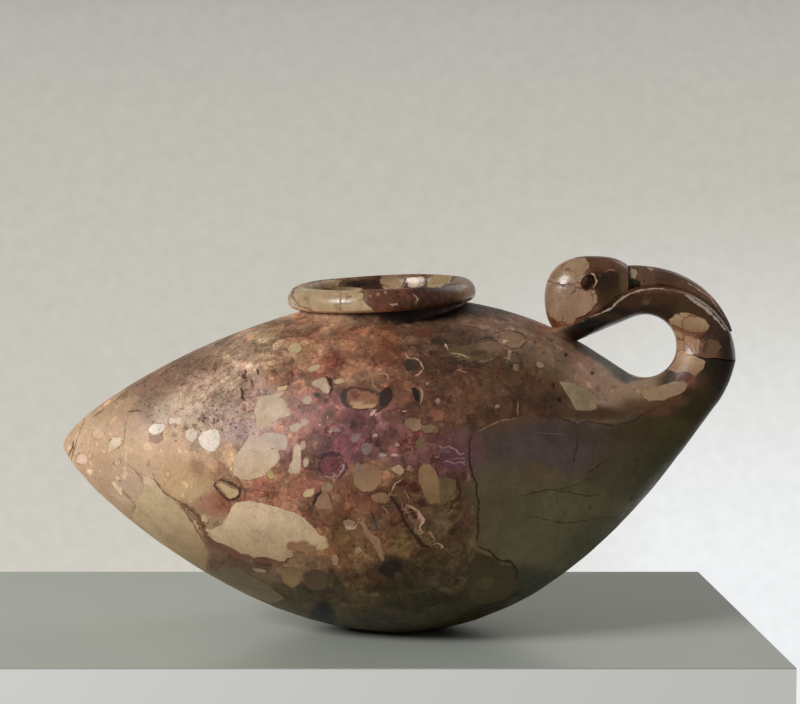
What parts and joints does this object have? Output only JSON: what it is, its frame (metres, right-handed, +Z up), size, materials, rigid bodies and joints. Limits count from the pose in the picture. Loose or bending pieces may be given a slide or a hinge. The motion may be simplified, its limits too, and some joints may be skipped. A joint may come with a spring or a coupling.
{
  "type": "bird-shaped unguent vessel",
  "caption": "Hollow polished stone vessel shaped as a resting ibis, with a rolled mouth on its back and a neck looped into a finger hole under a long laid-back bill.",
  "frame": {"origin": "on the table, at the middle of the vessel's footprint box", "axes": "+X towards the breast and neck loop, +Z up through the mouth, Y across the bird"},
  "size_m": [0.1997, 0.096, 0.1111],
  "materials": {
    "breccia": "polished"
  },
  "bodies": {
    "root": {"vessel_body": "breccia", "tail_tip": "breccia", "mouth_lip": "breccia", "neck_arch": "breccia", "head": "breccia", "bill": "breccia"}
  },
  "joints": []
}
